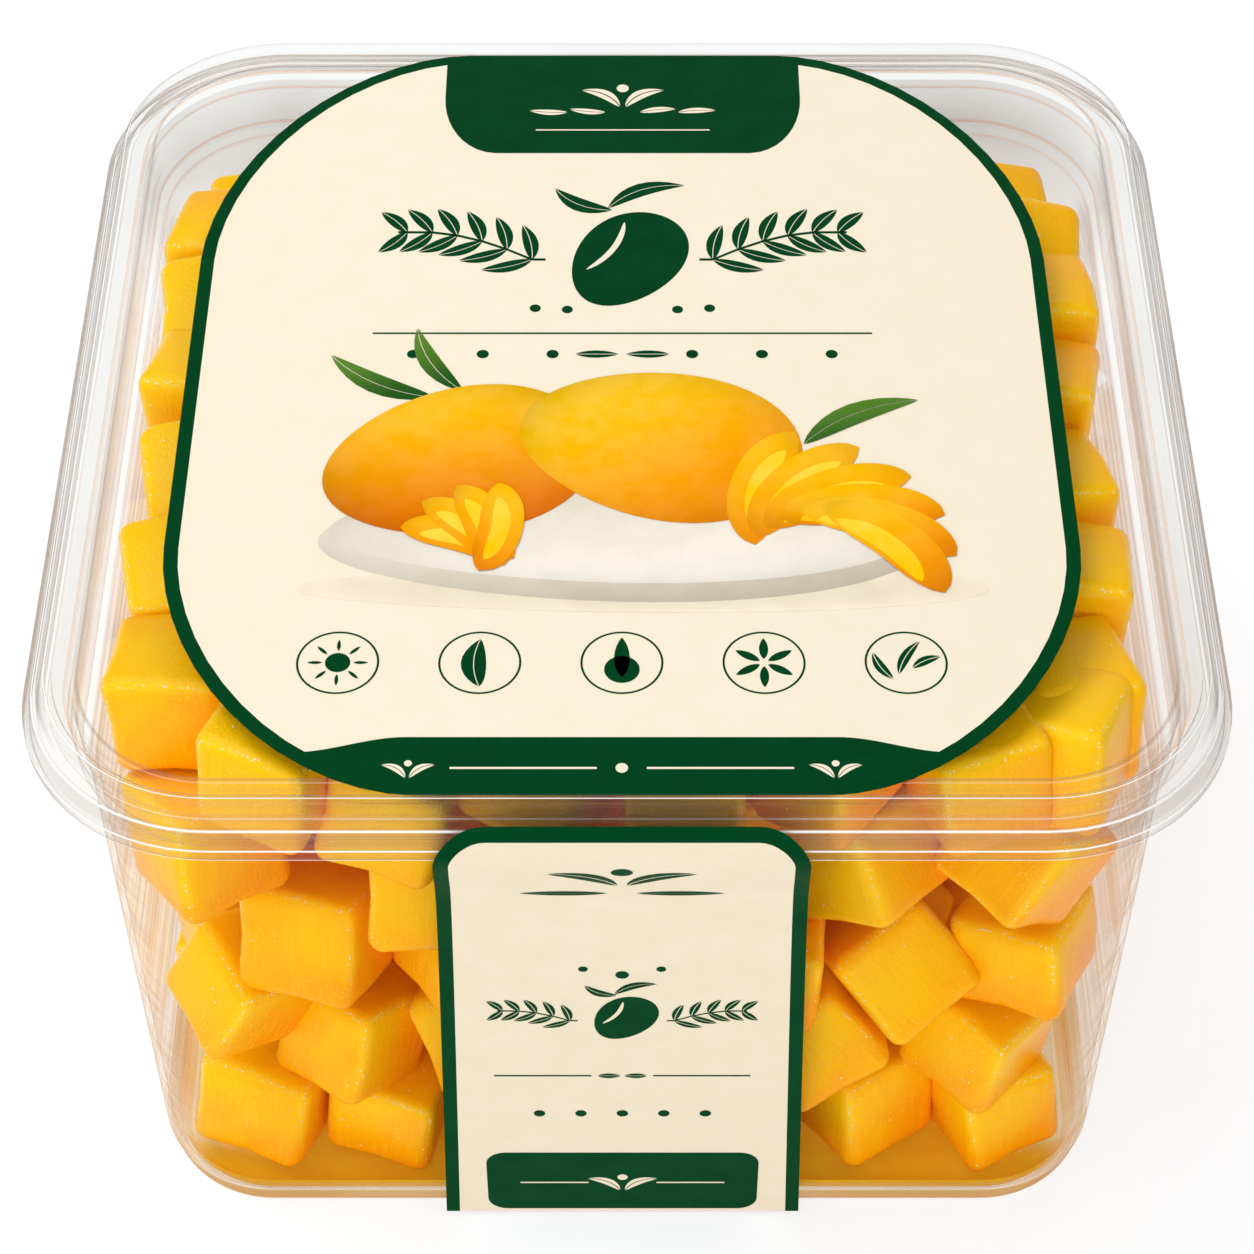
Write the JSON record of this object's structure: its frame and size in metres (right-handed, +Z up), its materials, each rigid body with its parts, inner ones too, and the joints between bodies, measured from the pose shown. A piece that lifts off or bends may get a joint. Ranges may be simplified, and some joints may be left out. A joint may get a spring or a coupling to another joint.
{
  "type": "tub of mango cubes",
  "caption": "Shut square tub of clear plastic full of mango cubes, with a press-on lid, a label on the lid and one down the front.",
  "frame": {"origin": "on the floor under the middle of the tub", "axes": "+Z up; the front with the narrow label faces -Y, +X is to its right as seen from the front"},
  "size_m": [0.12, 0.1208, 0.0793],
  "materials": {
    "clear_plastic": "gloss, clear thin plastic",
    "mango": "moist fruit flesh",
    "label_stock": "satin film label, cream with dark green"
  },
  "bodies": {
    "root": {"tub": "clear_plastic", "lid": "clear_plastic", "mango_heap": "mango", "lid_label": "label_stock", "front_label": "label_stock"}
  },
  "joints": []
}
